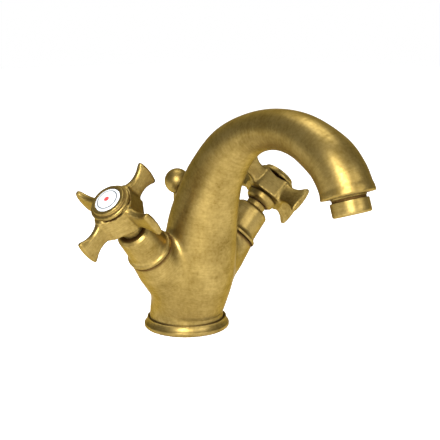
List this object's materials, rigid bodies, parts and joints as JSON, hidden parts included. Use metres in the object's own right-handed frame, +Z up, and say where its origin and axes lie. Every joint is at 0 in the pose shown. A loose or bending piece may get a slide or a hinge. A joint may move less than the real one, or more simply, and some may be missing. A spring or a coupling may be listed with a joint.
{
  "type": "basin mixer faucet",
  "caption": "Deck-mounted basin mixer in antique brass with a swan-neck spout, outward-leaning cross handles on bonnets, and a lift rod with ball knob.",
  "frame": {"origin": "centre of the base on the deck, on the axis of the deck hole", "axes": "+Z up, -Y along the spout towards the basin, -X to the hot valve, +X to the cold valve"},
  "size_m": [0.1786, 0.1749, 0.2413],
  "materials": {
    "antique_brass": "brushed and aged, brown in the recesses",
    "machined_brass": "turned, bright",
    "zinc_steel": "zinc plated",
    "black_rubber": "matte",
    "white_plastic": "moulded",
    "white_porcelain": "glazed"
  },
  "bodies": {
    "faucet_body": {"body_casting": "antique_brass", "base_ring": "antique_brass", "base_gasket": "black_rubber", "mounting_stud": "zinc_steel", "clamp_rubber": "black_rubber", "clamp_plate": "zinc_steel", "stud_nut": "machined_brass", "aerator_housing": "antique_brass", "aerator_insert": "white_plastic", "aerator_seal": "black_rubber", "lift_rod_bush": "white_plastic", "hot_valve_head": "machined_brass", "hot_head_seal": "black_rubber", "hot_bonnet": "antique_brass", "hot_bonnet_nut": "antique_brass", "hot_gland_nut": "antique_brass", "hot_gland_packing": "black_rubber", "cold_valve_head": "machined_brass", "cold_head_seal": "black_rubber", "cold_bonnet": "antique_brass", "cold_bonnet_nut": "antique_brass", "cold_gland_nut": "antique_brass", "cold_gland_packing": "black_rubber"},
    "lift_rod_body": {"lift_rod": "antique_brass", "lift_rod_knob": "antique_brass"},
    "hot_handle_group": {"hot_spindle": "machined_brass", "hot_spindle_seals": "black_rubber", "hot_handle": "antique_brass", "hot_handle_screw": "zinc_steel", "hot_index_cap": "antique_brass", "hot_index_disc": "white_porcelain"},
    "hot_jumper_group": {"hot_jumper": "machined_brass", "hot_jumper_washer": "black_rubber", "hot_washer_screw": "machined_brass"},
    "cold_handle_group": {"cold_spindle": "machined_brass", "cold_spindle_seals": "black_rubber", "cold_handle": "antique_brass", "cold_handle_screw": "zinc_steel", "cold_index_cap": "antique_brass", "cold_index_disc": "white_porcelain"},
    "cold_jumper_group": {"cold_jumper": "machined_brass", "cold_jumper_washer": "black_rubber", "cold_washer_screw": "machined_brass"}
  },
  "joints": [
    {"name": "hot_handle_turn", "type": "hinge", "parent": "faucet_body", "child": "hot_handle_group", "pos_m": [-0.06179, -0.01233, 0.08467], "axis": [-0.6865, -0.1248, 0.7163], "range_deg": [0, 720]},
    {"name": "hot_jumper_lift", "type": "slide", "parent": "faucet_body", "child": "hot_jumper_group", "axis": [-0.6865, -0.1248, 0.7163], "range_m": [0, 0.0041]},
    {"name": "cold_handle_turn", "type": "hinge", "parent": "faucet_body", "child": "cold_handle_group", "pos_m": [0.06179, -0.01233, 0.08467], "axis": [0.6865, -0.1248, 0.7163], "range_deg": [0, 720]},
    {"name": "cold_jumper_lift", "type": "slide", "parent": "faucet_body", "child": "cold_jumper_group", "axis": [0.6865, -0.1248, 0.7163], "range_m": [0, 0.0041]},
    {"name": "lift_rod_pull", "type": "slide", "parent": "faucet_body", "child": "lift_rod_body", "axis": [0, 0, 1], "range_m": [0, 0.025]}
  ],
  "couplings": [
    {"joint": "hot_jumper_lift", "follows": "hot_handle_turn", "m_per_rad": 0.00031831},
    {"joint": "cold_jumper_lift", "follows": "cold_handle_turn", "m_per_rad": 0.00031831}
  ]
}
